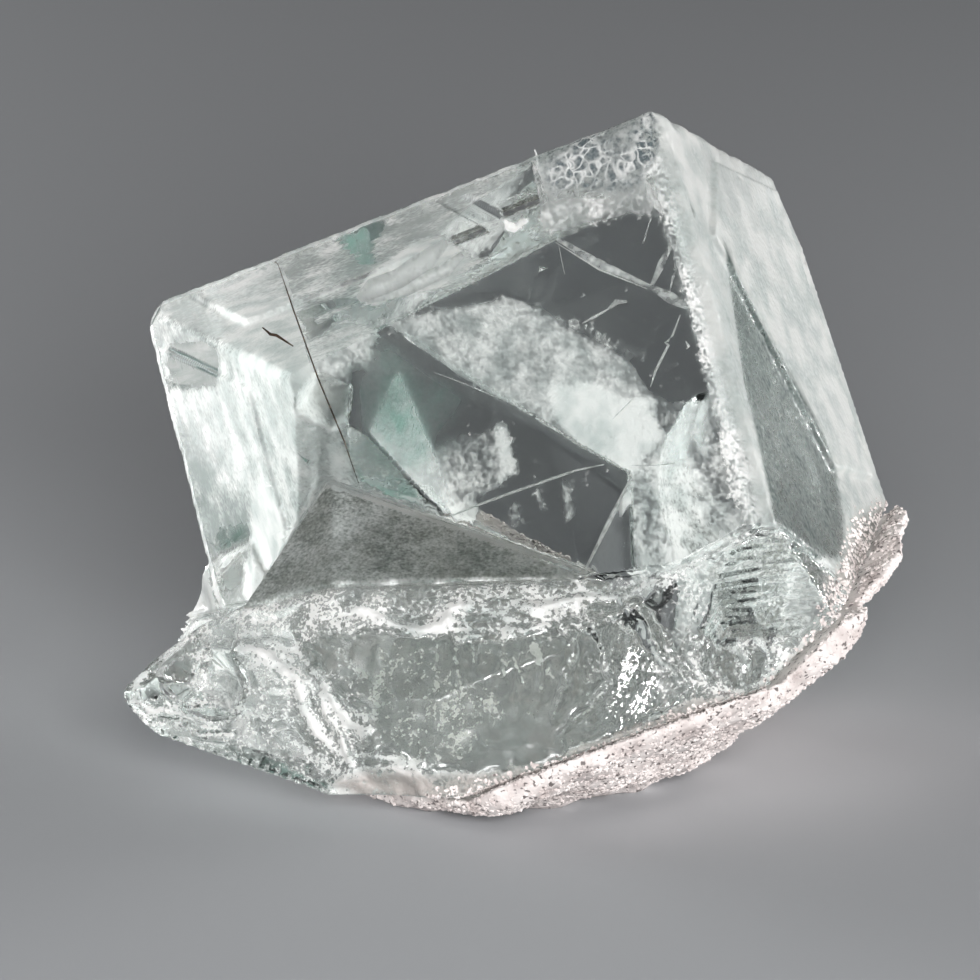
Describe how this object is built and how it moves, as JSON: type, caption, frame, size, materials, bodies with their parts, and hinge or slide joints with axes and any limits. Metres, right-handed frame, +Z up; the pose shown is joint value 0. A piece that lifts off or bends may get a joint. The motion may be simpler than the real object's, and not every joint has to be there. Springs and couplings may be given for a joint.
{
  "type": "fluorite crystal specimen",
  "caption": "Clear, colourless cube of fluorite leaning back on a broken foot, with a thin rind of white granular matrix that it rests on.",
  "frame": {"origin": "centre of the bounding box at the flat that the specimen rests on", "axes": "+Z up, +X to the right and -Y forward, towards the cube's largest visible face"},
  "size_m": [0.04, 0.0438, 0.034],
  "materials": {
    "clear_fluorite": "clear vitreous faces, frosted where broken or etched",
    "white_matrix": "rough granular white stone with dark specks"
  },
  "bodies": {
    "root": {"fluorite_crystal": "clear_fluorite", "matrix_rind": "white_matrix"}
  },
  "joints": []
}
